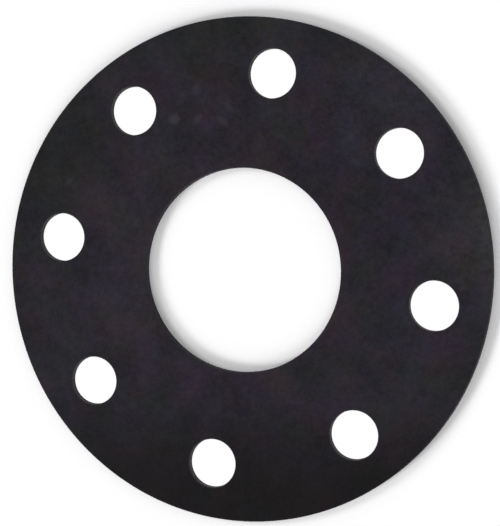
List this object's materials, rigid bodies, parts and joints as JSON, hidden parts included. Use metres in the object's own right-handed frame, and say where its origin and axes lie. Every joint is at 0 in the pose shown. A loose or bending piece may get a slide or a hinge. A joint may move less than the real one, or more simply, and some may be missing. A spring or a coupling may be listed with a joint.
{
  "type": "rubber flange gasket",
  "caption": "Flat round full-face gasket of black rubber sheet for a pipe flange, with a central bore and a ring of round bolt holes.",
  "frame": {"origin": "centre of the bore, on the lower face that the gasket lies on", "axes": "+Z through the bore, from the lower face to the upper face; the bolt holes straddle the X and Y axes"},
  "size_m": [0.185, 0.185, 0.003],
  "materials": {
    "rubber": "matte"
  },
  "bodies": {
    "root": {"flange_gasket": "rubber"}
  },
  "joints": []
}
